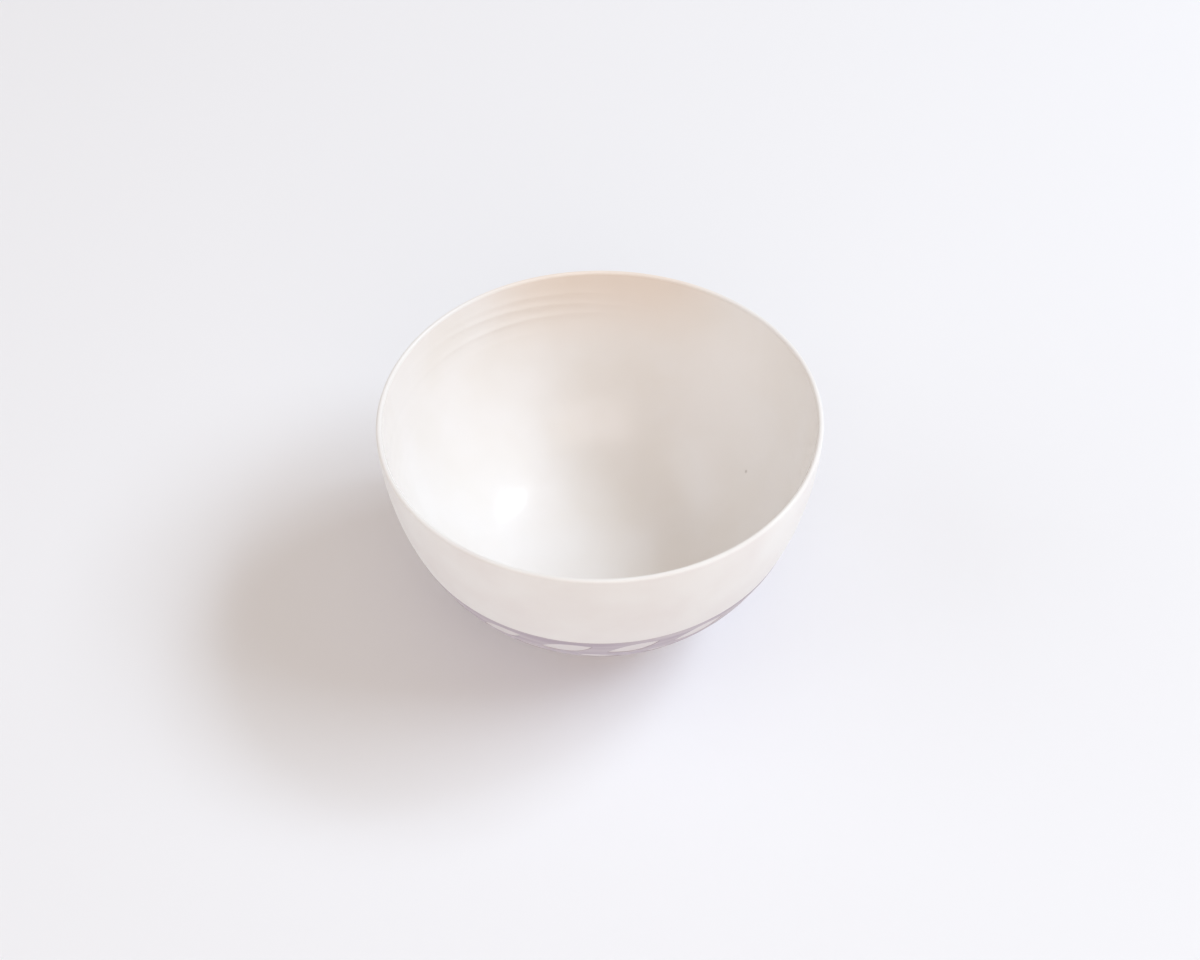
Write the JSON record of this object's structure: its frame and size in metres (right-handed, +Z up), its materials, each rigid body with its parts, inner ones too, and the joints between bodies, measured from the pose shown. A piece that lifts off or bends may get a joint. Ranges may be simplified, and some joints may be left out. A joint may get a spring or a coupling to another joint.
{
  "type": "porcelain bowl",
  "caption": "Deep hand-thrown porcelain bowl on a turned foot ring, with a satin glaze lining inside and a lavender slip band with leaf-shaped windows low on the outside.",
  "frame": {"origin": "middle of the foot ring's underside, on the surface that the bowl stands on", "axes": "+Z up along the bowl's axis; the picture looks along +Y, with +X to its right"},
  "size_m": [0.1198, 0.12, 0.0692],
  "materials": {
    "bare_porcelain": "smooth unglazed vitrified porcelain, warm white",
    "foot_porcelain": "bare turned porcelain, slightly rough",
    "satin_glaze": "thin satin clear glaze over white clay",
    "lavender_slip": "matt lavender slip, brushed"
  },
  "bodies": {
    "root": {"bowl_body": "bare_porcelain", "foot_ring": "foot_porcelain", "inner_glaze": "satin_glaze", "slip_band": "lavender_slip"}
  },
  "joints": []
}
